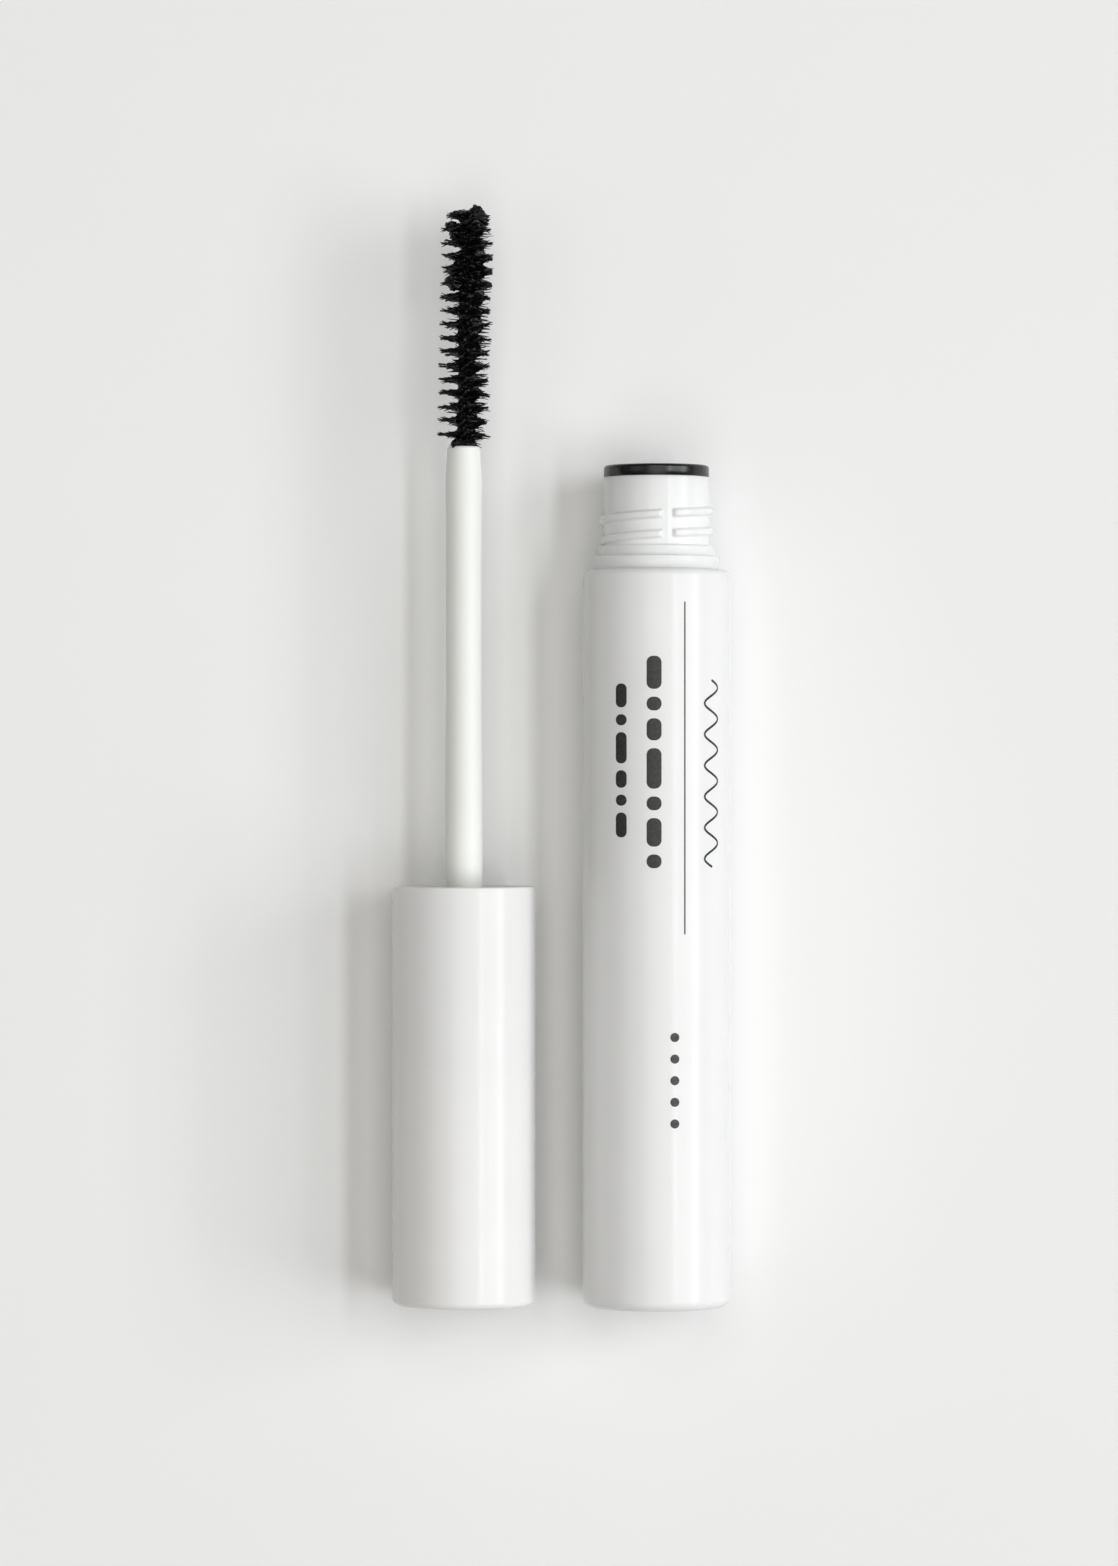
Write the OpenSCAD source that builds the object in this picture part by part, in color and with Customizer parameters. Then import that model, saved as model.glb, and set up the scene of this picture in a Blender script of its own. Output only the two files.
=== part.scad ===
// Mascara tube, open and lying on its side: the bottle on the right with its
// mouth toward +Y, and the wand (cap, stem and brush) beside it on the left with
// the brush toward +Y. Millimetres. The table is z = 0.

/* [Which piece] */
// Node to build, or all of them

/* [Bottle] */
// Outer diameter of the white sleeve
bottle_d = 16.2; // [14:0.1:22]
// Length of the sleeve from its base to the shoulder
bottle_len = 81; // [60:0.5:110]
// Wall of the sleeve
sleeve_wall = 1; // [0.8:0.05:1.4]
// Thickness of the sleeve's closed base
sleeve_base = 1.4; // [1:0.1:3]
// Edge radius round the base
base_edge = 1.1; // [0.3:0.05:1.3]
// Edge radius round the shoulder
shoulder_edge = 0.8; // [0.2:0.05:0.9]
// Wall of the inner vial's body
vial_wall = 0.9; // [0.6:0.05:1.5]
// Thickness of the vial's bottom
vial_base = 1.2; // [0.8:0.1:2]

/* [Neck and thread] */
// Outer diameter of the plain neck
neck_d = 11.6; // [10:0.1:14]
// Height of the neck above the shoulder
neck_h = 10.2; // [9:0.1:14]
// Wall of the neck
neck_wall = 1.2; // [0.8:0.05:1.6]
// Diameter of the wide collar that meets the sleeve
collar_b_d = 13.8; // [12.5:0.1:14]
// Height of the wide collar
collar_b_h = 1.45; // [1:0.05:2]
// Diameter of the narrow collar above it
collar_a_d = 12.6; // [12:0.1:13]
// Height of the narrow collar's top above the shoulder
collar_a_top = 2.6; // [2:0.05:3]
// Pitch of the single-start, right-hand thread
pitch = 2.2; // [1.5:0.1:3]
// How far the thread stands out of the neck
ridge_h = 0.47; // [0.3:0.01:0.6]
// Width of a thread ridge at its foot
ridge_foot = 0.95; // [0.6:0.05:1]
// Width of a thread ridge at its crest
ridge_top = 0.4; // [0.2:0.05:0.6]
// Height of the lower turn above the shoulder, on the upward side
ridge_z = 3.75; // [3:0.05:5]
// Where the thread breaks for the mould line, clockwise from the upward side
mould_gap_from = 4; // [0:1:40]
// How wide that break is, in degrees
mould_gap = 15; // [5:1:30]

/* [Wiper] */
// Diameter of the black flange on the mouth
flange_d = 11.58; // [11:0.02:13]
// Thickness of the flange
flange_h = 1.27; // [0.8:0.01:2]
// Wall of the wiper's sleeve
wiper_wall = 0.95; // [0.6:0.05:1.2]
// How far the wiper reaches down from the top of the neck
wiper_len = 10.8; // [8:0.1:14]
// Height of the plain ring that wipes the stem
wipe_ring_h = 1.2; // [0.8:0.1:2]

/* [Cap] */
// Outer diameter of the cap
cap_d = 15.7; // [13:0.1:21]
// Length of the cap
cap_len = 46; // [35:0.5:70]
// Wall of the cap's outer shell
cap_wall = 0.75; // [0.6:0.05:1]
// Thickness of the closed end
cap_end = 1.6; // [1:0.1:3]
// Edge radius round the closed end
cap_end_edge = 0.7; // [0.2:0.05:0.75]
// Edge radius at the open rim
cap_rim_edge = 0.25; // [0.1:0.05:0.3]
// How far the inner cap is set back from the rim
inner_setback = 1.8; // [1.7:0.1:3]
// How many turns close the cap
close_turns = 1.5; // [1:0.25:2]
// Thickness of the seal washer
washer_h = 1; // [0.5:0.1:2]

/* [Wand] */
// Length of the stem that shows below the cap
stem_len = 48.4; // [40:0.1:55]
// Stem diameter next to the cap
stem_d = 4.16; // [3.6:0.02:4.6]
// Stem diameter half way along
stem_mid_d = 3.97; // [3.4:0.01:4.4]
// Diameter of the stem's end
stem_end_d = 3.66; // [3.2:0.01:4.2]
// Diameter of the stem's head inside the cap
stem_head_d = 5; // [4.4:0.1:6]
// Depth of the wire's socket in the stem
wire_socket = 8; // [5:0.5:12]
// Length of the brush
brush_len = 26.5; // [20:0.5:32]
// Diameter of the brush over its bristles
brush_d = 5.9; // [5:0.1:9]
// How far the bent brush leans toward the bottle, in degrees
brush_lean = 1.2; // [0:0.1:2]
// Rows of bristles
rows = 18; // [12:1:24]
// Diameter of the twisted wire
wire_d = 1; // [0.7:0.05:1.4]

/* [Layout and fits] */
// Distance between the axes of the bottle and the wand
spacing = 21.2; // [18:0.1:30]
// How far the cap's rim lies behind the shoulder
rim_back = 34.8; // [10:0.1:60]
// Gap between the cap's rim and the shoulder when it is screwed shut
seat_gap = 0.2; // [0.1:0.05:0.5]
// Radial clearance of pieces pushed together
push_clear = 0.05; // [0.02:0.01:0.1]
// Radial clearance round the moving stem
run_clear = 0.06; // [0.02:0.01:0.1]
// Clearance of the cap's thread over the neck's
thread_clear = 0.15; // [0.1:0.01:0.25]
// Room round the brush in the product
brush_room = 0.65; // [0.5:0.05:1]

/* [Hidden] */
$fn = 96;
eps = 0.01;
bottle_r = bottle_d / 2;
cap_r = cap_d / 2;

// Bottle heights are measured from the shoulder, + toward the mouth.
vial_r = bottle_r - sleeve_wall - push_clear;
vial_in_r = vial_r - vial_wall;
vial_floor = -bottle_len + sleeve_base + push_clear;
cavity_floor = vial_floor + vial_base;
neck_r = neck_d / 2;
bore_r = neck_r - neck_wall;
crest_r = neck_r + ridge_h;
mouth = neck_h + flange_h;
wiper_r = bore_r - push_clear;
orifice_r = stem_d / 2 + run_clear;
wiper_bottom = neck_h - wiper_len;
throat_z = -1.6;
bead_z = 6.6;
bead_h = 0.15;
fill_top = -6;
channel_r = brush_d / 2 + brush_room;

// Wand lengths are measured from the cap's rim, + toward the brush.
lead = pitch * close_turns;
tip_u = stem_len + brush_len;
closed_mouth = seat_gap - mouth;
shell_in_r = cap_r - cap_wall;
inner_r = shell_in_r - push_clear;
cap_crest_r = neck_r + thread_clear;
cap_bore_r = crest_r + thread_clear - 0.02;
rim_bore_r = collar_a_d / 2 + thread_clear;
ceiling = closed_mouth - washer_h - 2 * push_clear;
recess_r = 3.5;
recess_h = 2.3;
recess_top = ceiling - recess_h;
head_len = 9;
cap_thread_low = -4.75;
head_bead = 0.15;
socket_r = stem_head_d / 2 + push_clear;
socket_out_r = socket_r + 1.3;
cap_deck = recess_top - 3.6;
wire_r = wire_d / 2;
row_gap = (brush_len - 0.75) / (rows - 1);
row_h = 0.75;

// Where the two axes lie
width = cap_r + spacing + bottle_r;
wand_x = -width / 2 + cap_r;
bottle_x = width / 2 - bottle_r;
tip_reach = stem_len + brush_len * cos(brush_lean) + 1.7 * sin(brush_lean) - rim_back;
shoulder_y = (bottle_len - tip_reach) / 2;
rim_y = shoulder_y - rim_back;

module on_bottle() { translate([bottle_x, shoulder_y, bottle_r]) rotate([-90, 0, 0]) children(); }
module on_wand() { translate([wand_x, rim_y, cap_r]) rotate([-90, 0, 0]) children(); }
module on_brush() { translate([0, 0, stem_len]) rotate([0, brush_lean, 0]) children(); }

// Half outline of a disc from z0 to z1, with edge radii f0 below and f1 above.
module disc_outline(r, z0, z1, f0 = 0, f1 = 0) {
    f = max(f0, f1);
    translate([0, z0]) square([r - f, z1 - z0]);
    translate([0, z0 + f0]) square([r, z1 - z0 - f0 - f1]);
    if (f0 > 0) {
        translate([0, z0]) square([r - f0, f0 + eps]);
        translate([r - f0, z0 + f0]) circle(f0);
    }
    if (f1 > 0) {
        translate([0, z1 - f1 - eps]) square([r - f1, f1 + eps]);
        translate([r - f1, z1 - f1]) circle(f1);
    }
}

module turned() { rotate_extrude() children(); }
module bore(r, z0, z1) { translate([0, 0, z0]) cylinder(r = r, h = z1 - z0); }

// One stretch of thread: an arc of the ridge's outline, tilted to rise with the pitch,
// with its middle at angle mid. Its flanks run on straight into the wall at foot_r.
module ridge(foot_r, top_r, foot_w, top_w, z_at_0, mid, span) {
    sunk = 0.3;
    in_r = foot_r + sign(foot_r - top_r) * sunk;
    in_w = foot_w + (foot_w - top_w) * sunk / abs(foot_r - top_r);
    tilt = atan(pitch * span / 720 / (foot_r * sin(span / 2)));
    rotate([0, 0, mid]) translate([0, 0, z_at_0 + pitch * mid / 360]) rotate([tilt, 0, 0])
        rotate([0, 0, -span / 2]) rotate_extrude(angle = span)
            polygon([[in_r, -in_w / 2], [top_r, -top_w / 2], [top_r, top_w / 2], [in_r, in_w / 2]]);
}

// Angles are counted from +X here, and the upward side of the lying part is at -90.
module neck_thread() {
    span = 180 - mould_gap;
    first = mould_gap_from + mould_gap - 90 - 180 + span / 2;
    for (k = [0:3]) {
        s = k == 3 ? 0.8 * span : span;
        ridge(neck_r, crest_r, ridge_foot, ridge_top, ridge_z + pitch / 4,
              first + 180 * k - (span - s) / 2, s);
    }
}

// The cap's ridge lies half a pitch from the neck's when the cap is shut. It is broken
// four times a turn, as a ridge that has to be stripped off its core is.
module cap_thread() {
    at_0 = seat_gap - ridge_z - pitch / 2 + lead + pitch / 4;
    low = cap_thread_low - lead;
    a0 = 360 * (low - at_0) / pitch;
    for (k = [0:4 * close_turns - 1])
        ridge(cap_bore_r, cap_crest_r, ridge_foot - thread_clear, ridge_top, at_0,
              a0 + 90 * k + 45, 78);
}

module outer_sleeve() {
    color([0.93, 0.93, 0.92]) on_bottle() difference() {
        turned() disc_outline(bottle_r, -bottle_len, 0, base_edge, shoulder_edge);
        bore(bottle_r - sleeve_wall, -bottle_len + sleeve_base, 1);
    }
}

module inner_vial() {
    color([0.88, 0.91, 0.93]) on_bottle() difference() {
        union() {
            turned() disc_outline(vial_r, vial_floor, 0, 1, 0.1);
            turned() disc_outline(collar_b_d / 2, -1, collar_b_h, 0, 0.15);
            turned() disc_outline(collar_a_d / 2, 0, collar_a_top, 0, 0.2);
            turned() disc_outline(neck_r, 0, neck_h, 0, 0.15);
            neck_thread();
        }
        bore(vial_in_r, cavity_floor, throat_z - vial_in_r + bore_r);
        translate([0, 0, throat_z - vial_in_r + bore_r - eps])
            cylinder(r1 = vial_in_r, r2 = bore_r, h = vial_in_r - bore_r + eps);
        bore(bore_r, throat_z - eps, neck_h + 1);
        turned() translate([bore_r - bead_h, bead_z - 0.5]) square([2 * bead_h, 1]);
    }
}

module wiper() {
    in_r = wiper_r - wiper_wall;
    color([0.09, 0.09, 0.1]) on_bottle() difference() {
        union() {
            turned() disc_outline(flange_d / 2, neck_h, mouth, 0.1, 0.4);
            bore(wiper_r, wiper_bottom + 3.4, neck_h + eps);
            translate([0, 0, wiper_bottom])
                cylinder(r1 = orifice_r + 0.7, r2 = wiper_r, h = 3.4 + eps);
            turned() translate([0, bead_z - 0.4]) square([wiper_r + bead_h, 0.8]);
        }
        bore(orifice_r, wiper_bottom - 1, mouth + 1);
        translate([0, 0, wiper_bottom + wipe_ring_h])
            cylinder(r1 = orifice_r, r2 = in_r, h = 3.4);
        bore(in_r, wiper_bottom + wipe_ring_h + 3.4 - eps, mouth + 1);
    }
}

module mascara_fill() {
    floor_z = seat_gap - tip_u - 1.5;
    color([0.03, 0.03, 0.035]) on_bottle() difference() {
        turned() disc_outline(vial_in_r - push_clear, cavity_floor + push_clear, fill_top, 0.6, 0.2);
        bore(channel_r, floor_z, fill_top + 1);
    }
}

module cap_shell() {
    color([0.92, 0.92, 0.91]) on_wand() difference() {
        turned() disc_outline(cap_r, -cap_len, 0, cap_end_edge, cap_rim_edge);
        bore(shell_in_r, -cap_len + cap_end, 1);
    }
}

module inner_cap() {
    color([0.95, 0.95, 0.94]) on_wand() union() {
        difference() {
            union() {
                bore(inner_r, cap_deck, -inner_setback);
                bore(socket_out_r, recess_top - head_len - 1.6, cap_deck + eps);
            }
            bore(cap_bore_r, ceiling, 1);
            bore(rim_bore_r, -collar_a_top - 0.6, 1);
            bore(recess_r, recess_top, ceiling + eps);
            bore(socket_r, recess_top - head_len - push_clear, recess_top + eps);
            turned() translate([0, recess_top - head_len / 2 - 0.6])
                square([socket_r + head_bead, 1.2]);
        }
        cap_thread();
    }
}

module seal_washer() {
    z0 = closed_mouth - push_clear - washer_h + lead;
    color([0.85, 0.85, 0.83]) on_wand() difference() {
        turned() disc_outline(cap_crest_r - 2 * push_clear, z0, z0 + washer_h, 0.1, 0.1);
        bore(recess_r, z0 - 1, z0 + washer_h + 1);
    }
}

module stem() {
    head_z = recess_top - head_len;
    color([0.91, 0.92, 0.88]) on_wand() difference() {
        union() {
            turned() disc_outline(stem_head_d / 2, head_z, recess_top, 0.3, 0);
            turned() translate([0, head_z + head_len / 2 - 0.5])
                square([stem_head_d / 2 + head_bead, 1]);
            turned() polygon([[0, recess_top - eps], [stem_d / 2, recess_top - eps],
                [stem_d / 2, 4], [stem_mid_d / 2, stem_len * 0.5],
                [stem_mid_d / 2, stem_len - 8], [stem_mid_d / 2 + 0.04, stem_len - 3.4],
                [stem_end_d / 2, stem_len - 0.3], [stem_end_d / 2 - 0.3, stem_len],
                [0, stem_len]]);
        }
        bore(wire_r + push_clear, stem_len - wire_socket, stem_len + 1);
    }
}

module wire_core() {
    color([0.3, 0.3, 0.31]) on_wand() {
        bore(wire_r, stem_len - wire_socket + 0.3, stem_len);
        translate([0, 0, stem_len]) sphere(1.06 * wire_r);
        on_brush() {
            cylinder(r = wire_r, h = brush_len - 0.9);
            translate([0, 0, brush_len - 0.9]) cylinder(r1 = wire_r, r2 = 0.5 * wire_r, h = 0.3);
        }
    }
}

// Radius of a row of bristles: it narrows at both ends.
function row_r(k) = brush_d / 2 * (k == 0 ? 0.86 : k == rows - 1 ? 0.58 : k == rows - 2 ? 0.86 : 1);

module bristles() {
    color([0.02, 0.02, 0.025]) on_wand() difference() {
        on_brush() for (k = [0:rows - 1])
            translate([0, 0, k * row_gap]) difference() {
                cylinder(r = row_r(k), h = row_h);
                translate([0, 0, -1]) cylinder(r = wire_r + 0.03, h = row_h + 2);
            }
        clump_ring(0.12);
        bore(stem_end_d / 2 + 0.1, stem_len - 1, stem_len + 0.06);
    }
}

// The bead of product on the brush's tip that the wiper takes off at the mouth.
// It lies outside the stem's radius, so that the stem passes it when the wand goes in.
module clump_ring(grow = 0) {
    r0 = stem_d / 2 + 0.25;
    rotate([0, 0, -32 - 4 * grow * 10]) rotate_extrude(angle = 64 + 80 * grow)
        translate([r0 - grow, tip_u - 2.35 - grow]) square([0.72 + 6 * grow, 1.5 + 2 * grow]);
}

module product_clump() {
    color([0.02, 0.02, 0.025]) on_wand() clump_ring();
}

outer_sleeve();
inner_vial();
wiper();
mascara_fill();
cap_shell();
inner_cap();
seal_washer();
stem();
wire_core();
bristles();
product_clump();
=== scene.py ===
import math
import random

import bpy
from mathutils import Matrix, Vector, noise


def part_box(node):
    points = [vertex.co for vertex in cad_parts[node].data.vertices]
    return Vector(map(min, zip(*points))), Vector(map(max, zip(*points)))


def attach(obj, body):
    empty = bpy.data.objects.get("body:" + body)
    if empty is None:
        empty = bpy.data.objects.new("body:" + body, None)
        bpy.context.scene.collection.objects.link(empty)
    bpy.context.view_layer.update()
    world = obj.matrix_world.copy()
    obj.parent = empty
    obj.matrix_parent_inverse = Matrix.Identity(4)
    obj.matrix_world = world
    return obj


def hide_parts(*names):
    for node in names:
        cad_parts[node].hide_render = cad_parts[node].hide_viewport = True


# An open mascara tube on a pale table, seen from straight above. Sizes are in
# millimetres in this script and become metres when a mesh is made.

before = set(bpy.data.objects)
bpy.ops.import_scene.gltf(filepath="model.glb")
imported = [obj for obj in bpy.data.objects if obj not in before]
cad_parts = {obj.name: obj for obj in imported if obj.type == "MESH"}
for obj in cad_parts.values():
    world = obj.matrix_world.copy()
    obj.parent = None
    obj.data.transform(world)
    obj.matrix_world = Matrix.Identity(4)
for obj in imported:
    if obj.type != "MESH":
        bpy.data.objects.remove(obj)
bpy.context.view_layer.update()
MM = 0.001
rng = random.Random(11)


def box_mm(node):
    low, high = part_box(node)
    return [c / MM for c in low], [c / MM for c in high]


# ---------------------------------------------------------------- sizes from the frame
sleeve_low, sleeve_high = box_mm("outer_sleeve")
vial_low, vial_high = box_mm("inner_vial")
wiper_low, wiper_high = box_mm("wiper")
cap_low, cap_high = box_mm("cap_shell")
stem_low, stem_high = box_mm("stem")

BOTTLE_R = (sleeve_high[0] - sleeve_low[0]) / 2
BOTTLE_X = (sleeve_high[0] + sleeve_low[0]) / 2
BASE_Y, SHOULDER_Y = sleeve_low[1], sleeve_high[1]
NECK_TOP_Y = vial_high[1]
MOUTH_Y, WIPER_END_Y = wiper_high[1], wiper_low[1]
FLANGE_R = (wiper_high[0] - wiper_low[0]) / 2
CAP_R = (cap_high[0] - cap_low[0]) / 2
CAP_X = (cap_high[0] + cap_low[0]) / 2
CAP_END_Y, RIM_Y = cap_low[1], cap_high[1]
STEM_END_Y = stem_high[1]

BOTTLE_AXIS = (BOTTLE_X, BOTTLE_R)      # x and z of the line along +Y
WAND_AXIS = (CAP_X, CAP_R)

# ---------------------------------------------------------------- other sizes
SLEEVE_WALL = 1.0
BASE_EDGE = 1.1                         # radii of the rounded edges
SHOULDER_EDGE = 0.8
PRESS_GAP = 0.05                        # between the sleeve and the vial in it
NECK_R = 5.8
COLLAR_B = (6.9, 1.45)                  # radius and top above the shoulder
COLLAR_A = (6.3, 2.6)
PITCH = 2.2
RIDGE_H = 0.47
RIDGE_Y = 3.75                          # lower turn above the shoulder, seen from above
RIDGE_FOOT, RIDGE_FLANK = 0.56, 0.34    # half the ridge's width, and its sloping part
RIDGE_FROM, RIDGE_TO = -161, 505        # the thread's ends, in degrees along it
PARTING_TURN = 11.5                     # the mould's parting line, degrees from straight up
PARTING_HALF_GAP = 5.5                  # where the ridge stops on each side of it, degrees
RUN_OUT = 5.0                           # degrees over which a ridge dies away
CAP_WALL = 0.75
CAP_EDGE = 0.7
RIM_EDGE = 0.25
STEM_R = 2.08                           # at the cap, then in the middle, then at the end
STEM_MID_R = 1.985
STEM_END_R = 1.83
BRUSH_R = 2.95
BRUSH_LEAN = math.radians(1.2)
BRUSH_LEN = 26.5
TWIST = 3.02                            # one turn of the twisted wire
TWIST_START = 0.53
FIBRE_ROOT_R = 0.2                      # where a fibre leaves the wires


# ---------------------------------------------------------------- mesh helpers
def new_mesh(name, points, faces, material, smooth_faces=True):
    """An object from points in millimetres and faces of any size."""
    mesh = bpy.data.meshes.new(name)
    mesh.from_pydata([tuple(c * MM for c in p) for p in points], [], faces)
    mesh.validate()
    if smooth_faces:
        mesh.polygons.foreach_set("use_smooth", [True] * len(mesh.polygons))
    mesh.materials.append(material)
    mesh.update()
    obj = bpy.data.objects.new(name, mesh)
    bpy.context.scene.collection.objects.link(obj)
    return obj


def arc(cx, cy, r, a0, a1, steps=8):
    """Points of an arc in the (radius, y) plane, angles in degrees."""
    return [(cx + r * math.cos(math.radians(a0 + (a1 - a0) * i / steps)),
             cy + r * math.sin(math.radians(a0 + (a1 - a0) * i / steps)))
            for i in range(steps + 1)]


def smooth(t):
    """An even S from 0 to 1."""
    return t * t * (3 - 2 * t)


def turned(name, outline, axis, material, segments, bulge=None):
    """A surface of revolution round a line along +Y. outline is (radius, y) points and
    bulge(radius, y, degrees) may move each point outward."""
    ax, az = axis
    points, faces, rings = [], [], []
    for r, y in outline:
        if r < 1e-6:
            rings.append([len(points)])
            points.append((ax, y, az))
            continue
        ring = []
        for k in range(segments):
            turn = 360 * k / segments
            rr = r + (bulge(r, y, turn) if bulge else 0)
            ring.append(len(points))
            points.append((ax + rr * math.sin(math.radians(turn)), y,
                           az + rr * math.cos(math.radians(turn))))
        rings.append(ring)
    for a, b in zip(rings, rings[1:]):
        for k in range(segments):
            m = (k + 1) % segments
            if len(a) == 1 and len(b) > 1:
                faces.append((a[0], b[k], b[m]))
            elif len(b) == 1 and len(a) > 1:
                faces.append((a[m], a[k], b[0]))
            elif len(a) > 1:
                faces.append((a[m], a[k], b[k], b[m]))
    return new_mesh(name, points, faces, material)


def skin(faces, start, rows, segments, ends=True, flip=False):
    """Faces over rings of points that follow one another, and over both ends."""
    for i in range(rows):
        a, b = start + i * segments, start + (i + 1) * segments
        for k in range(segments):
            m = (k + 1) % segments
            faces.append((a + m, a + k, b + k, b + m) if flip else (a + k, a + m, b + m, b + k))
    if ends:
        first = [start + k for k in range(segments)]
        last = [start + rows * segments + k for k in range(segments)]
        faces.append(tuple(first if flip else reversed(first)))
        faces.append(tuple(reversed(last) if flip else last))


def sideways(path, i):
    """Two directions at right angles to the path at its point i."""
    ahead = (path[min(i + 1, len(path) - 1)] - path[max(i - 1, 0)]).normalized()
    u = ahead.orthogonal().normalized()
    return u, ahead.cross(u)


def tube(points, faces, path, radii, sides, twist=0.0, ends=True):
    """Adds a tapered tube along path to points and faces."""
    start = len(points)
    for i, p in enumerate(path):
        u, v = sideways(path, i)
        for k in range(sides):
            a = 2 * math.pi * k / sides + twist
            points.append((p + (u * math.cos(a) + v * math.sin(a)) * radii[i])[:])
    skin(faces, start, len(path) - 1, sides, ends)


# ---------------------------------------------------------------- materials
class Shader:
    """A node material with a Principled shader and a few short ways to add to it."""

    def __init__(self, name, color, roughness, **sockets):
        self.mat = bpy.data.materials.new(name)
        self.mat.use_nodes = True
        self.tree = self.mat.node_tree
        self.bsdf = self.tree.nodes["Principled BSDF"]
        self.bsdf.inputs["Base Color"].default_value = (*color, 1)
        self.bsdf.inputs["Roughness"].default_value = roughness
        for key, value in sockets.items():
            self.bsdf.inputs[key.replace("_", " ")].default_value = value
        self.coord = self.tree.nodes.new("ShaderNodeTexCoord")

    def node(self, kind, **values):
        """A new node with its inputs set."""
        n = self.tree.nodes.new(kind)
        for key, value in values.items():
            n.inputs[key].default_value = value
        return n

    def noise(self, scale, detail, stretch=(1, 1, 1)):
        mapping = self.node("ShaderNodeMapping", Scale=stretch)
        self.tree.links.new(self.coord.outputs["Object"], mapping.inputs["Vector"])
        tex = self.node("ShaderNodeTexNoise", Scale=scale, Detail=detail)
        self.tree.links.new(mapping.outputs["Vector"], tex.inputs["Vector"])
        return tex.outputs["Fac"]

    def vary_color(self, fac, dark, light, start=0.3, end=0.7):
        ramp = self.node("ShaderNodeValToRGB")
        ramp.color_ramp.elements[0].position = start
        ramp.color_ramp.elements[0].color = (*dark, 1)
        ramp.color_ramp.elements[1].position = end
        ramp.color_ramp.elements[1].color = (*light, 1)
        self.tree.links.new(fac, ramp.inputs["Fac"])
        self.tree.links.new(ramp.outputs["Color"], self.bsdf.inputs["Base Color"])

    def vary_roughness(self, fac, low, high):
        limits = {"From Min": 0.3, "From Max": 0.7, "To Min": low, "To Max": high}
        ramp = self.node("ShaderNodeMapRange", **limits)
        self.tree.links.new(fac, ramp.inputs["Value"])
        self.tree.links.new(ramp.outputs["Result"], self.bsdf.inputs["Roughness"])

    def bump(self, fac, strength, distance_mm):
        bump = self.node("ShaderNodeBump", Strength=strength, Distance=distance_mm * MM)
        self.tree.links.new(fac, bump.inputs["Height"])
        self.tree.links.new(bump.outputs["Normal"], self.bsdf.inputs["Normal"])


def white_plastic(name, color, low, high, sss=0.12):
    """Injection-moulded white plastic: glossy, with a slow waviness and fine handling wear."""
    s = Shader(name, color, low, IOR=1.5, Specular_IOR_Level=0.28,
               Subsurface_Weight=sss, Subsurface_Scale=0.002)
    s.bsdf.inputs["Subsurface Radius"].default_value = (1.0, 0.9, 0.8)
    s.vary_color(s.noise(160, 2), tuple(c * 0.985 for c in color), color)
    s.vary_roughness(s.noise(900, 4, (1, 0.25, 1)), low, high)
    s.bump(s.noise(120, 1, (1, 0.4, 1)), 0.12, 0.05)
    return s.mat


MAT = {}


def make_materials():
    # color, then the lowest and highest roughness, then how far light goes into it
    MAT["sleeve"] = white_plastic("white_gloss_plastic_look", (0.875, 0.875, 0.87), 0.2, 0.27)
    MAT["cap"] = white_plastic("white_gloss_plastic_cap_look", (0.88, 0.875, 0.865), 0.2, 0.27)
    MAT["neck"] = white_plastic("cool_white_plastic_look", (0.88, 0.89, 0.885), 0.18, 0.25, 0.4)
    MAT["liner"] = white_plastic("natural_plastic_look", (0.82, 0.82, 0.80), 0.35, 0.45, 0.2)
    MAT["stem"] = white_plastic("stem_plastic_look", (0.875, 0.885, 0.85), 0.32, 0.4, 0.1)

    s = Shader("black_soft_plastic_look", (0.006, 0.006, 0.0065), 0.26, IOR=1.5)
    s.vary_roughness(s.noise(700, 4), 0.22, 0.3)
    s.bump(s.noise(500, 2), 0.1, 0.02)
    MAT["wiper"] = s.mat

    s = Shader("mascara_look", (0.002, 0.002, 0.003), 0.25, IOR=1.48, Specular_IOR_Level=0.3)
    s.vary_roughness(s.noise(1400, 3), 0.13, 0.4)
    s.bump(s.noise(2600, 4), 0.9, 0.08)
    MAT["mascara"] = s.mat

    s = Shader("bristle_nylon_look", (0.004, 0.004, 0.005), 0.34, IOR=1.5, Specular_IOR_Level=0.22)
    s.vary_color(s.noise(1500, 3), (0.002, 0.002, 0.0025), (0.007, 0.007, 0.008))
    s.vary_roughness(s.noise(2500, 3), 0.24, 0.5)
    s.bump(s.noise(6000, 3), 0.4, 0.02)
    MAT["bristle"] = s.mat

    s = Shader("steel_wire_look", (0.05, 0.05, 0.052), 0.3, Metallic=0.7)
    s.vary_color(s.noise(1800, 3), (0.01, 0.01, 0.011), (0.1, 0.1, 0.1), 0.45, 0.75)
    s.bump(s.noise(4000, 3), 0.3, 0.02)
    MAT["wire"] = s.mat

    s = Shader("print_ink_look", (0.018, 0.018, 0.018), 0.42)
    s.vary_color(s.noise(2600, 2), (0.012, 0.012, 0.012), (0.03, 0.03, 0.03))
    MAT["ink"] = s.mat

    s = Shader("table_look", (0.9, 0.9, 0.895), 0.62)
    s.vary_color(s.noise(18, 2), (0.893, 0.893, 0.889), (0.905, 0.905, 0.901))
    s.bump(s.noise(1500, 3), 0.05, 0.03)
    MAT["table"] = s.mat


# ---------------------------------------------------------------- bottle
def closed_end(y, gate_r, gate_depth, r, edge, steps):
    """A flat closed end at y with the moulding gate's faint hollow and a rounded edge."""
    return [(0, y + gate_depth), (gate_r, y + gate_depth), (gate_r + 0.15, y + 0.02),
            (gate_r + 0.3, y), (r - edge - 0.9, y), *arc(r - edge, y + edge, edge, -90, 0, steps)]


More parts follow.
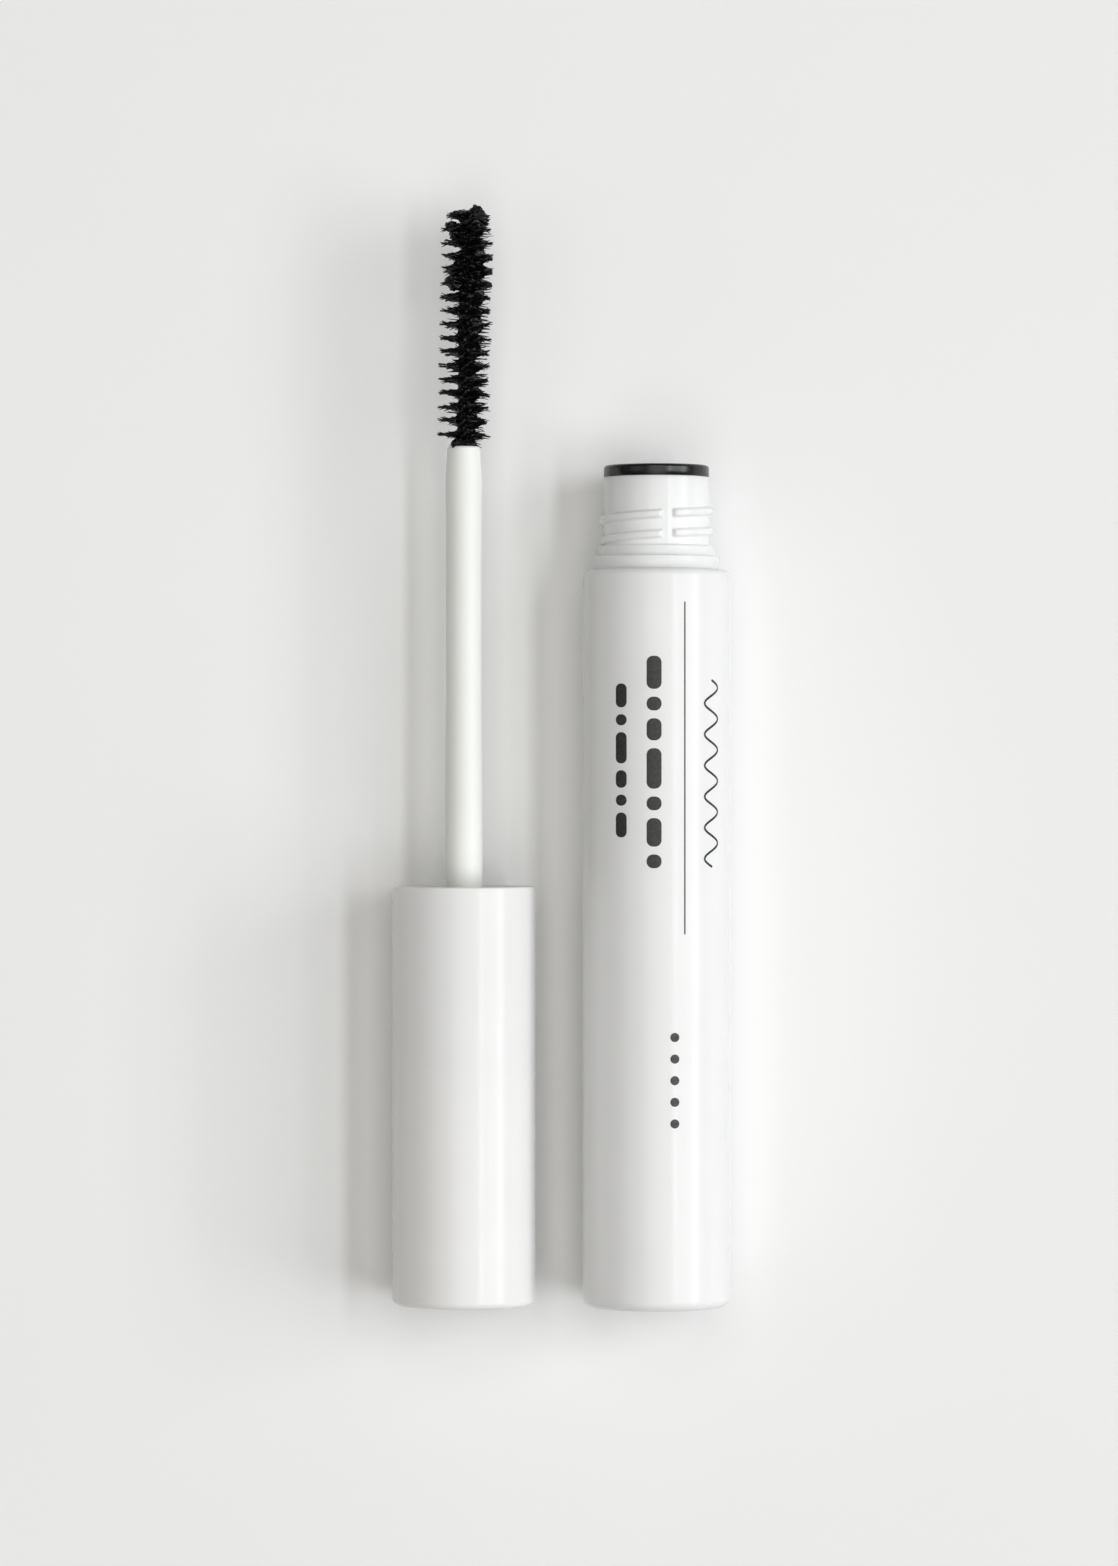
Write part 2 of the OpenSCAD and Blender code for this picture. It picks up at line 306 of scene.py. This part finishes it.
def sleeve():
    """The bottle's outer shell."""
    f, e = BASE_EDGE, SHOULDER_EDGE
    inner = BOTTLE_R - SLEEVE_WALL
    outline = closed_end(BASE_Y, 1.0, 0.12, BOTTLE_R, f, 14)
    steps = 40
    top = SHOULDER_Y - e
    outline += [(BOTTLE_R, BASE_Y + f + (top - BASE_Y - f) * i / steps) for i in range(1, steps)]
    outline += arc(BOTTLE_R - e, top, e, 0, 90, 12)
    outline += [(inner + 0.06, SHOULDER_Y), (inner, SHOULDER_Y - 0.06), (inner, SHOULDER_Y - 1.2)]
    return turned("bottle_sleeve", outline, BOTTLE_AXIS, MAT["sleeve"], 256)


def ridge_height(y, turn):
    """How far the thread stands out of the neck at this height and angle."""
    turn = (turn + 180) % 360 - 180
    best = 0.0
    for k in (-1, 0, 1):
        along = turn + 360 * k                      # degrees along the helix
        if not RIDGE_FROM <= along <= RIDGE_TO:
            continue
        off = abs(y - (SHOULDER_Y + RIDGE_Y + PITCH * along / 360))
        flank = min(1.0, max(0.0, (RIDGE_FOOT - off) / RIDGE_FLANK))
        past_parting = (along - PARTING_TURN) % 180
        from_parting = min(past_parting, 180 - past_parting) - PARTING_HALF_GAP
        ends = min(from_parting, along - RIDGE_FROM, RIDGE_TO - along) / RUN_OUT
        ends = min(1.0, max(0.0, ends))
        best = max(best, smooth(flank) * math.sqrt(ends * (2 - ends)))
    return RIDGE_H * best


def neck():
    """The vial's collars and neck, with its ridges and the faint line where the mould parts."""
    y0 = SHOULDER_Y
    bore = 4.7
    rb, hb = COLLAR_B
    ra, ha = COLLAR_A
    vial_r = BOTTLE_R - SLEEVE_WALL - PRESS_GAP
    outline = [(vial_r, y0 - 1.0), (vial_r, y0 - 0.06), (vial_r - 0.06, y0)]
    outline += [(rb + 0.05, y0), (rb, y0 + 0.05)]
    outline += arc(rb - 0.16, y0 + hb - 0.16, 0.16, 0, 90, 5)
    outline += [(ra + 0.06, y0 + hb), (ra, y0 + hb + 0.07)]
    outline += arc(ra - 0.2, y0 + ha - 0.2, 0.2, 0, 90, 5)
    outline += arc(NECK_R + 0.12, y0 + ha + 0.12, 0.12, 270, 180, 4)
    start, end = y0 + ha + 0.14, NECK_TOP_Y - 0.15
    rows = 150
    outline += [(NECK_R, start + (end - start) * i / rows) for i in range(rows)]
    outline += arc(NECK_R - 0.15, end, 0.15, 0, 90, 4)
    outline += [(bore, NECK_TOP_Y)]

    def bulge(r, y, turn):
        seam = abs((turn - PARTING_TURN + 90) % 180 - 90)
        line = 0.012 * max(0.0, 1 - seam / 0.8) if r > bore else 0
        if r > NECK_R + 0.01 or y < start:
            return line
        return max(line, ridge_height(y, turn))

    return turned("bottle_neck", outline, BOTTLE_AXIS, MAT["neck"], 540, bulge)


def wiper():
    """The black insert: a flange on the neck's mouth, a barrel, and a funnel down to its ring."""
    inner, barrel, ring = 3.6, 4.54, 2.14           # radii
    outline = [(FLANGE_R - 0.3, NECK_TOP_Y), (FLANGE_R - 0.08, NECK_TOP_Y + 0.01)]
    outline += [(FLANGE_R, NECK_TOP_Y + 0.09)]
    outline += arc(FLANGE_R - 0.36, MOUTH_Y - 0.36, 0.36, 0, 90, 10)
    outline += arc(inner + 0.3, MOUTH_Y - 0.3, 0.3, 90, 180, 6)
    low = WIPER_END_Y
    outline += [(inner, MOUTH_Y - 1), (inner, MOUTH_Y - 4), (inner, low + 4.6),
                (inner - 0.05, low + 4.5)]
    outline += [(ring + 0.06, low + 1.3), (ring, low + 1.15), (ring, low + 0.1), (ring + 0.06, low),
                (2.8, low), (2.9, low + 0.1), (barrel - 0.04, low + 3.4), (barrel, low + 3.6),
                (barrel, NECK_TOP_Y - 0.4), (FLANGE_R - 0.3, NECK_TOP_Y)]
    return turned("wiper_insert", outline, BOTTLE_AXIS, MAT["wiper"], 192)


# ---------------------------------------------------------------- print
INK_THICKNESS = 0.008


def ink_patch(points, faces, axis, radius, turn0, turn1, y0, y1, corner):
    """A bar with round corners laid on the bottle, between two angles and two heights."""
    ax, az = axis
    half = radius * math.radians(turn1 - turn0) / 2
    mid = math.radians((turn0 + turn1) / 2)
    c = min(corner, half, (y1 - y0) / 2)
    steps, columns = 6, 8
    rows = [y0 + c * (1 - math.cos(math.pi / 2 * i / steps)) for i in range(steps + 1)]
    rows += [y0 + c + (y1 - y0 - 2 * c) * i / 4 for i in range(1, 4)]
    rows += [y1 - c + c * math.sin(math.pi / 2 * i / steps) for i in range(steps + 1)]
    start = len(points)
    for y in rows:
        t = max(0.0, y0 + c - y, y - (y1 - c))
        w = half - c + math.sqrt(max(0.0, c * c - t * t)) if t > 0 else half
        for k in range(columns + 1):
            a = mid + (2 * k / columns - 1) * w / radius
            points.append((ax + radius * math.sin(a), y, az + radius * math.cos(a)))
    for i in range(len(rows) - 1):
        for k in range(columns):
            p = start + i * (columns + 1) + k
            faces.append((p, p + 1, p + columns + 2, p + columns + 1))


def ink_line(points, faces, axis, radius, path, width):
    """A stroke along (degrees, y) points."""
    ax, az = axis
    start = len(points)
    flat = [(radius * math.radians(t), y) for t, y in path]
    for i, (s, y) in enumerate(flat):
        s0, y0 = flat[max(i - 1, 0)]
        s1, y1 = flat[min(i + 1, len(flat) - 1)]
        length = math.hypot(s1 - s0, y1 - y0)
        nx, ny = (y1 - y0) / length, -(s1 - s0) / length
        for side in (-0.5, 0.5):
            a = (s + nx * width * side) / radius
            points.append((ax + radius * math.sin(a), y + ny * width * side,
                           az + radius * math.cos(a)))
    for i in range(len(flat) - 1):
        p = start + 2 * i
        faces.append((p, p + 1, p + 3, p + 2))


def print_marks():
    """Plain pills, a rule, a wave and dots where the bottle is printed. They spell nothing.
    Places are degrees from straight up and millimetres below the shoulder."""
    points, faces = [], []
    r = BOTTLE_R + INK_THICKNESS

    def pills(turn0, turn1, start, lengths, gap, corner):       # a row of pills down the bottle
        y = SHOULDER_Y - start
        for length in lengths:
            ink_patch(points, faces, BOTTLE_AXIS, r, turn0, turn1, y - length, y, corner)
            y -= length + gap

    def stroke(start, length, steps, turn, width):              # a line down the bottle
        path = [(turn(i), SHOULDER_Y - start - length * i / steps) for i in range(steps + 1)]
        ink_line(points, faces, BOTTLE_AXIS, r, path, width)

    pills(-34, -24.5, 12.6, (2.6, 1.2, 3.4, 1.9, 1.2, 2.7), 0.75, 0.6)
    pills(-8.5, 3, 9.6, (3.6, 1.5, 2.4, 4.4, 1.5, 3.1, 1.5), 0.85, 0.7)
    stroke(3.7, 36.2, 30, lambda i: 21.5, 0.17)
    stroke(12.2, 20.4, 90, lambda i: 47 + 7.5 * math.sin(i * 0.42), 0.26)
    pills(9.8, 17, 50.6, (1.0,) * 5, 1.35, 0.5)
    return new_mesh("print_marks", points, faces, MAT["ink"])


# ---------------------------------------------------------------- wand
def cap():
    """The cap's outer shell."""
    f, e = CAP_EDGE, RIM_EDGE
    inner = CAP_R - CAP_WALL
    outline = closed_end(CAP_END_Y, 0.8, 0.1, CAP_R, f, 12)
    steps = 24
    low, top = CAP_END_Y + f, RIM_Y - e
    outline += [(CAP_R, low + (top - low) * i / steps) for i in range(1, steps)]
    outline += arc(CAP_R - e, top, e, 0, 90, 6)
    outline += arc(inner + 0.2, RIM_Y - 0.2, 0.2, 90, 180, 5)
    outline += [(inner, RIM_Y - 2), (inner, RIM_Y - 20)]
    return turned("cap_outer_shell", outline, WAND_AXIS, MAT["cap"], 256)


def stem():
    """The rod: it tapers from the cap, swells a little before its end and is rounded there."""
    end, inside, straight, taper = STEM_END_Y, 14.5, 4, 20.2
    outline = [(0, RIM_Y - inside), (STEM_R, RIM_Y - inside), (STEM_R, RIM_Y + straight)]
    outline += [(STEM_R - (STEM_R - STEM_MID_R) * smooth(i / 10), RIM_Y + straight + taper * i / 10)
                for i in range(1, 11)]
    outline += [(STEM_MID_R, end - 12), (1.99, end - 8), (2.03, end - 4.2), (2.02, end - 3.3),
                (1.97, end - 2.4), (1.86, end - 1.0), (STEM_END_R, end - 0.45)]
    outline += arc(STEM_END_R - 0.3, end - 0.3, 0.3, 0, 90, 5)
    outline += [(0.6, end)]
    return turned("wand_stem", outline, WAND_AXIS, MAT["stem"], 128)


def brush_point(u, r, turn):
    """A point of the leaning brush: u along it from the stem's end, r out, turn in radians."""
    x = r * math.sin(turn)
    z = r * math.cos(turn)
    return Vector((CAP_X + x * math.cos(BRUSH_LEAN) + u * math.sin(BRUSH_LEAN),
                   STEM_END_Y + u * math.cos(BRUSH_LEAN) - x * math.sin(BRUSH_LEAN),
                   CAP_R + z))


def wound(u):
    """How far the wire has turned, in radians, at a place along the brush."""
    return 2 * math.pi * (u - TWIST_START) / TWIST


def wire():
    """Two wires twisted round each other, which close into one at the tip."""
    points, faces = [], []
    wire_r, offset, steps = 0.27, 0.25, 260
    for half in (0, math.pi):
        path = []
        for i in range(steps + 1):
            u = -0.4 + (BRUSH_LEN - 0.5) * i / steps
            closing = min(1.0, (steps - i) / 8)
            path.append(brush_point(u, offset * closing, wound(u) + half))
        tube(points, faces, path, [wire_r] * len(path), 8)
    return new_mesh("twisted_wire", points, faces, MAT["wire"])


CLUMP_TURN = math.pi / 2                # the bead of product on the tip faces the bottle
CLUMP_U = (BRUSH_LEN - 2.5, BRUSH_LEN - 0.65)
CLUMP_HALF_TURN = math.radians(42)
CLUMP_IN_R = 2.26                       # fibres under the bead stop here
SECTOR = math.radians(26)               # one tuft's share of the winding


def reach(u, turn):
    """How far out a fibre at this place may go."""
    base = 0.93 + 0.07 * min(1.0, u / 1.3)
    tip = min(1.0, max(0.0, (BRUSH_LEN - u - 0.5) / 1.6))
    r = BRUSH_R * base * (0.66 + 0.34 * math.sqrt(tip))
    apart = abs((turn - CLUMP_TURN + math.pi) % (2 * math.pi) - math.pi)
    if CLUMP_U[0] < u < CLUMP_U[1] and apart < CLUMP_HALF_TURN:
        r = min(r, CLUMP_IN_R)
    return r


def loaded(u):
    """How much product a place along the brush holds, most of it in the far half."""
    f = u / BRUSH_LEN
    return 0.25 + 0.45 * math.exp(-((f - 0.72) / 0.17) ** 2) + 0.5 * max(0.0, (f - 0.86) / 0.14)


def settle(turn, half):
    """The helix comes in steps where product draws a row flat: how far along the brush a
    fibre sits from the plain helix, in millimetres. Rows are flattest on the free side."""
    shift = 0.0
    widest, easing = math.radians(88), math.radians(34)
    for side, hold in ((-math.pi / 2, 0.72), (math.pi / 2, 0.15)):
        off = (turn + math.pi * half - side + math.pi) % (2 * math.pi) - math.pi
        if abs(off) < widest:
            ease = min(1.0, (widest - abs(off)) / easing)
            shift -= hold * TWIST * off / (2 * math.pi) * ease
    return shift


class Tuft:
    """A few fibres that product draws together: where it ends and how tightly it is drawn."""

    def __init__(self, index, half):
        along = (index + 0.5) * SECTOR
        self.turn = along + math.pi * half + rng.uniform(-0.08, 0.08)
        plain_u = TWIST_START + along * TWIST / (2 * math.pi)
        self.u = plain_u + settle(along, half) + rng.uniform(-0.07, 0.07)
        right = 0.5 + 0.5 * math.sin(self.turn)          # 1 on the side facing the bottle
        self.long = rng.uniform(0.99, 1.05) if right < 0.5 else rng.uniform(0.88, 1.02)
        self.pull = rng.uniform(0.6, 0.9) * (1 - 0.75 * right)
        self.bend = rng.uniform(-0.16, 0.16)
        self.fat = rng.uniform(0.85, 1.2) * (0.78 + 0.75 * loaded(self.u)) * (1 - 0.3 * right)


def make_tufts():
    """All tufts, by their number along the winding and by which of its two halves they're in."""
    first, last = (math.floor(wound(u) / SECTOR) for u in (0.2, BRUSH_LEN - 0.6))
    return {(i, half): Tuft(i, half) for i in range(first, last + 1) for half in (0, 1)}


FIBRE_GAP = 0.034                       # between fibres along the brush
LOOSE_FIBRES = 330


def held_fibre(points, faces, tufts, u, half):
    """A fibre drawn into its tuft, with a tip that forks out of it."""
    along = wound(u)
    tuft = tufts[(math.floor(along / SECTOR), half)]
    turn = along + math.pi * half + rng.gauss(0, 0.09)
    flat_u = u + settle(along, half)
    far = reach(u, turn) * tuft.long * rng.uniform(0.92, 1.0)
    if rng.random() < 0.08:                               # a few are short
        far *= rng.uniform(0.6, 0.85)
    fork_u, fork_turn = rng.gauss(0, 0.13), rng.gauss(0, 0.04)
    taper = (1.3, 1.25, 1.15, 1.05, 0.95, 0.9, 0.8, 0.45)
    path = []
    for k in range(len(taper)):
        f = k / (len(taper) - 1)
        near = tuft.pull * math.sin(math.pi / 2 * f)
        fork = f ** 5
        uu = u + (flat_u - u) * min(1.0, 2.2 * f)
        uu += (tuft.u - flat_u) * near + tuft.bend * f * f + fork_u * fork
        r = FIBRE_ROOT_R + (far - FIBRE_ROOT_R) * f
        path.append(brush_point(min(uu, BRUSH_LEN - 0.08), r,
                                turn + (tuft.turn - turn) * near + fork_turn * fork))
    thick = rng.uniform(0.055, 0.085)
    tube(points, faces, path, [thick * w for w in taper], 5, rng.uniform(0, 6), ends=False)


def loose_fibre(points, faces, i):
    """A thin fibre that stands between the rows."""
    u = 0.4 + (BRUSH_LEN - 1.9) * (i + rng.random()) / LOOSE_FIBRES
    turn = rng.choice((math.pi / 2, math.pi / 2, 0.0, math.pi)) + rng.uniform(-0.9, 0.9)
    far = reach(u, turn) * rng.uniform(0.72, 0.99)
    lean, bend = rng.gauss(0, 0.22), rng.gauss(0, 0.12)
    root = 0.3
    path = [brush_point(u + lean * f + bend * f * f, root + (far - root) * f, turn + bend * 0.3 * f)
            for f in (0, 0.25, 0.5, 0.75, 1)]
    thick = rng.uniform(0.045, 0.075)
    tube(points, faces, path, [thick * w for w in (1.3, 1.2, 1.05, 0.9, 0.5)], 5, i, ends=False)


def fibres(tufts):
    """Nylon fibres caught between the wires, and loose ones between the rows."""
    points, faces = [], []
    for i in range(int((BRUSH_LEN - 1.1) / FIBRE_GAP)):
        for half in (0, 1):
            held_fibre(points, faces, tufts, 0.3 + i * FIBRE_GAP, half)
    for i in range(LOOSE_FIBRES):
        loose_fibre(points, faces, i)
    return new_mesh("bristle_fibres", points, faces, MAT["bristle"])


def rough_tube(points, faces, path, radii, sides, seed, rough=0.25):
    """A closed tube whose radius wanders, for product that coats something."""
    start = len(points)
    for i, p in enumerate(path):
        u, v = sideways(path, i)
        for k in range(sides):
            a = 2 * math.pi * k / sides
            out = u * math.cos(a) + v * math.sin(a)
            lump = noise.noise((p + out * 0.4) * 2.6 + Vector((seed, 0, 0)))
            points.append((p + out * radii[i] * (1 + rough * 2 * lump))[:])
    skin(faces, start, len(path) - 1, sides)


def blob(points, faces, centre, sizes, seed):
    """A lump of product."""
    rows, segments, rough = 30, 40, 0.42
    start = len(points)
    for i in range(rows + 1):
        up = math.pi * i / rows
        for k in range(segments):
            a = 2 * math.pi * k / segments
            d = Vector((math.sin(up) * math.cos(a), math.cos(up), math.sin(up) * math.sin(a)))
            lump = 1 + rough * (noise.noise(d * 1.6 + Vector((seed, 0, 0)))
                                + 0.6 * noise.noise(d * 4.2 + Vector((0, seed, 0)))
                                + 0.3 * noise.noise(d * 9.5 + Vector((0, 0, seed))))
            points.append((centre + d * Vector(sizes) * lump)[:])
    skin(faces, start, rows, segments, ends=False)


def coat(points, faces):
    """Product round the wire and in a web along its two spirals, thicker toward the tip."""
    rows, segments = 520, 48
    start = len(points)
    for i in range(rows + 1):
        u = min(-0.1 + BRUSH_LEN * i / rows, BRUSH_LEN - 0.5)
        for k in range(segments):
            a = 2 * math.pi * k / segments
            web = max(0.0, abs(math.cos(a - wound(u - 0.85 * settle(a, 0)))) - 0.35) / 0.65
            p = Vector((u * 0.8, 2.4 * math.cos(a), 2.4 * math.sin(a)))
            lump = noise.noise(p) + 0.6 * noise.noise(p * 2.3) + 0.35 * noise.noise(p * 5.5)
            load = loaded(u)
            r = 0.72 + 0.22 * lump + web ** 1.5 * (0.3 + 0.9 * load + 0.9 * load * lump)
            r += 0.75 * max(0.0, load - 0.5) * (1 + lump)
            r += max(0.0, math.sin(a)) * (0.3 + 0.3 * load) * max(0.0, 0.8 + 1.6 * lump)
            r *= math.sqrt(min(1.0, max(0.02, (BRUSH_LEN - 0.45 - u) / 1.3)))
            points.append(brush_point(u, max(0.1, min(r, reach(u, a) - 0.15)), a)[:])
    skin(faces, start, rows, segments, flip=True)


def up_the_tufts(points, faces, tufts):
    """Product drawn up each tuft, most of the way to its fibres' ends."""
    steps = 8
    for key in sorted(tufts):
        tuft = tufts[key]
        top = reach(tuft.u, tuft.turn) * tuft.long * (0.62 + 0.25 * min(1.0, loaded(tuft.u)))
        path, radii = [], []
        for k in range(steps + 1):
            f = k / steps
            path.append(brush_point(min(tuft.u + tuft.bend * f * f, BRUSH_LEN - 0.3),
                                    0.5 + (top - 0.5) * f, tuft.turn))
            radii.append(tuft.fat * (0.36 - 0.19 * f))
        radii[-1] *= 0.6
        rough_tube(points, faces, path, radii, 9, tuft.turn)


def ragged_edge(points, faces):
    """Short tongues of product that reach back over the stem's end."""
    count = 26
    for k in range(count):
        a = 2 * math.pi * (k + rng.uniform(-0.3, 0.3)) / count
        far = rng.uniform(0.2, 0.62)
        path = [brush_point(0.55 - f * far, 0.85 + 0.6 * f, a) for f in (0, 0.4, 0.8, 1)]
        rough_tube(points, faces, path, [0.3, 0.25, 0.17, 0.06], 7, k * 1.7, 0.4)


# where the largest lumps sit, as (right, along from the tip, up), and their half sizes
LUMPS = (
    ((0.95, -1.1, 0.1), (0.72, 1.0, 0.8)),
    ((0.5, -2.0, 0.2), (1.25, 1.0, 1.2)),
    ((-1.8, -2.3, 0.1), (0.66, 0.6, 0.7)),
    ((-0.8, -2.8, -0.2), (1.2, 0.9, 1.1)),
    ((-1.2, -8.5, 0.2), (1.1, 0.9, 1.0)),
    ((-1.0, -7.2, 0.0), (1.0, 0.9, 0.9)),
    ((0.7, -9.6, 0.2), (1.1, 1.5, 1.0)),
    ((0.9, -5.6, 0.2), (1.0, 1.3, 1.0)),
    ((0.8, -13.0, 0.2), (0.9, 1.3, 0.8)),
)


def product_on_brush(tufts):
    """Mascara round the wire, up the tufts, ragged at the stem and in lumps toward the tip."""
    points, faces = [], []
    coat(points, faces)
    up_the_tufts(points, faces, tufts)
    ragged_edge(points, faces)
    for n, ((x, u, z), sizes) in enumerate(LUMPS):
        centre = brush_point(BRUSH_LEN + u, math.hypot(x, z), math.atan2(x, z))
        blob(points, faces, centre, sizes, 3.1 * n + 0.5)
    return new_mesh("product_coat", points, faces, MAT["mascara"])


def tip_bead():
    """The bead of product on the tip that the wiper takes off: a crust with fine points."""
    low, high = box_mm("product_clump")
    margin, crust_r, point_r = 0.08, 2.43, 2.42
    u0, u1 = low[1] + margin, high[1] - margin
    rows, segments, spikes = 24, 16, 26
    points, faces = [], []

    def place(r, y, turn):
        angle = math.radians(turn)
        return Vector((CAP_X + r * math.sin(angle), y, CAP_R + r * math.cos(angle)))

    for i in range(rows + 1):
        f = i / rows
        swell = math.sqrt(max(0.0, math.sin(math.pi * min(0.97, max(0.03, f)))))
        for k in range(segments):
            a = 2 * math.pi * k / segments
            lump = 1 + 0.3 * noise.noise(Vector((f * 7, 2 * math.cos(a), 2 * math.sin(a))))
            r = crust_r + 0.08 * swell * lump * math.cos(a)
            y = (u0 + u1) / 2 + (u1 - u0) / 2.3 * swell * lump * math.sin(a)
            points.append(place(r, min(max(y, u0), u1), 59.5 + 61 * f)[:])
    skin(faces, 0, rows, segments)
    for k in range(spikes):
        turn = 62 + 56 * (k + 0.5) / spikes + rng.uniform(-1.5, 1.5)
        y = rng.uniform(u0 + 0.12, u1 - 0.12)
        top = rng.uniform(2.72, 3.0)
        path = [place(point_r, y, turn), place((point_r + top) / 2, y + 0.02, turn),
                place(top, y + rng.uniform(-0.06, 0.06), turn)]
        rough_tube(points, faces, path, [0.12, 0.085, 0.03], 6, k * 2.3, 0.2)
    return new_mesh("tip_product_bead", points, faces, MAT["mascara"])


# ---------------------------------------------------------------- table, light, camera
def table():
    size = 4000
    corners = [(-size, -size, 0), (size, -size, 0), (size, size, 0), (-size, size, 0)]
    obj = new_mesh("table_top", corners, [(0, 1, 2, 3)], MAT["table"], smooth_faces=False)


CLEAR, WARM = (0.97, 0.985, 1.0), (1.0, 0.985, 0.95)
# name, degrees up from the right, height and width in degrees as the object sees it, watts, colour
SOFT_LIGHTS = (
    ("window", 27, 9, 42, 22, CLEAR),
    ("window_glow", 39.5, 20, 42, 20.3, CLEAR),
    ("window_upper", 51, 9, 42, 6.2, CLEAR),
    ("window_top", 61, 6, 42, 21.7, CLEAR),
    ("ceiling", 90, 36, 80, 49, WARM),
    ("wall_left", 134, 24, 42, 8, WARM),
    ("wall_low", 160, 20, 42, 1.5, WARM),
)
ROOM = 3.0                              # how far the lights stand from the object, metres


def lights():
    world = bpy.data.worlds.new("soft_room")
    bpy.context.scene.world = world
    world.use_nodes = True
    background = world.node_tree.nodes["Background"]
    background.inputs["Color"].default_value = (1.0, 1.0, 0.985, 1)
    background.inputs["Strength"].default_value = 0.01
    along = Vector((0, 1, 0))
    for name, up, tall, wide, watts, color in SOFT_LIGHTS:
        back = Vector((math.cos(math.radians(up)), 0, math.sin(math.radians(up))))
        data = bpy.data.lights.new(name, "AREA")
        data.shape = "RECTANGLE"
        data.size = 2 * ROOM * math.tan(math.radians(wide) / 2)
        data.size_y = 2 * ROOM * math.tan(math.radians(tall) / 2)
        data.energy = watts
        data.color = color
        obj = bpy.data.objects.new(name, data)
        place = Matrix((along, back.cross(along), back)).transposed().to_4x4()
        place.translation = back * ROOM
        obj.matrix_world = place
        bpy.context.scene.collection.objects.link(obj)


def camera():
    """Straight above, far enough back for the picture's small perspective."""
    sensor, distance = 36, 0.66
    seen = 172.3 * MM                       # the long side of the picture, at the axes' height
    data = bpy.data.cameras.new("top_view")
    data.sensor_width = sensor
    data.lens = sensor * distance / seen
    data.clip_start, data.clip_end = 0.01, 20
    obj = bpy.data.objects.new("top_view", data)
    centre_x, centre_y = -0.24 * MM, -3.0 * MM
    obj.location = (centre_x, centre_y, distance + BOTTLE_R * MM)
    bpy.context.scene.collection.objects.link(obj)
    bpy.context.scene.camera = obj


# ---------------------------------------------------------------- build
make_materials()

piece = sleeve()
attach(piece, "bottle")
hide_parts("outer_sleeve")

piece = neck()
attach(piece, "bottle")
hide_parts("inner_vial")

piece = wiper()
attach(piece, "bottle")
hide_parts("wiper")

piece = print_marks()
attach(piece, "bottle")

piece = cap()
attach(piece, "cap")
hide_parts("cap_shell")

piece = stem()
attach(piece, "wand")
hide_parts("stem")

piece = wire()
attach(piece, "wand")
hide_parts("wire_core")

tufts = make_tufts()
piece = fibres(tufts)
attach(piece, "wand")
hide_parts("bristles")

piece = product_on_brush(tufts)
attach(piece, "wand")

piece = tip_bead()
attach(piece, "tip_product")
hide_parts("product_clump")

# the CAD pieces that stay as they are get a better material
for node, look in (("inner_cap", "liner"), ("seal_washer", "liner"), ("mascara_fill", "mascara")):
    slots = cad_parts[node].data.materials
    slots.clear()
    slots.append(MAT[look])

table()
lights()
camera()
bpy.context.scene.view_settings.view_transform = "Standard"
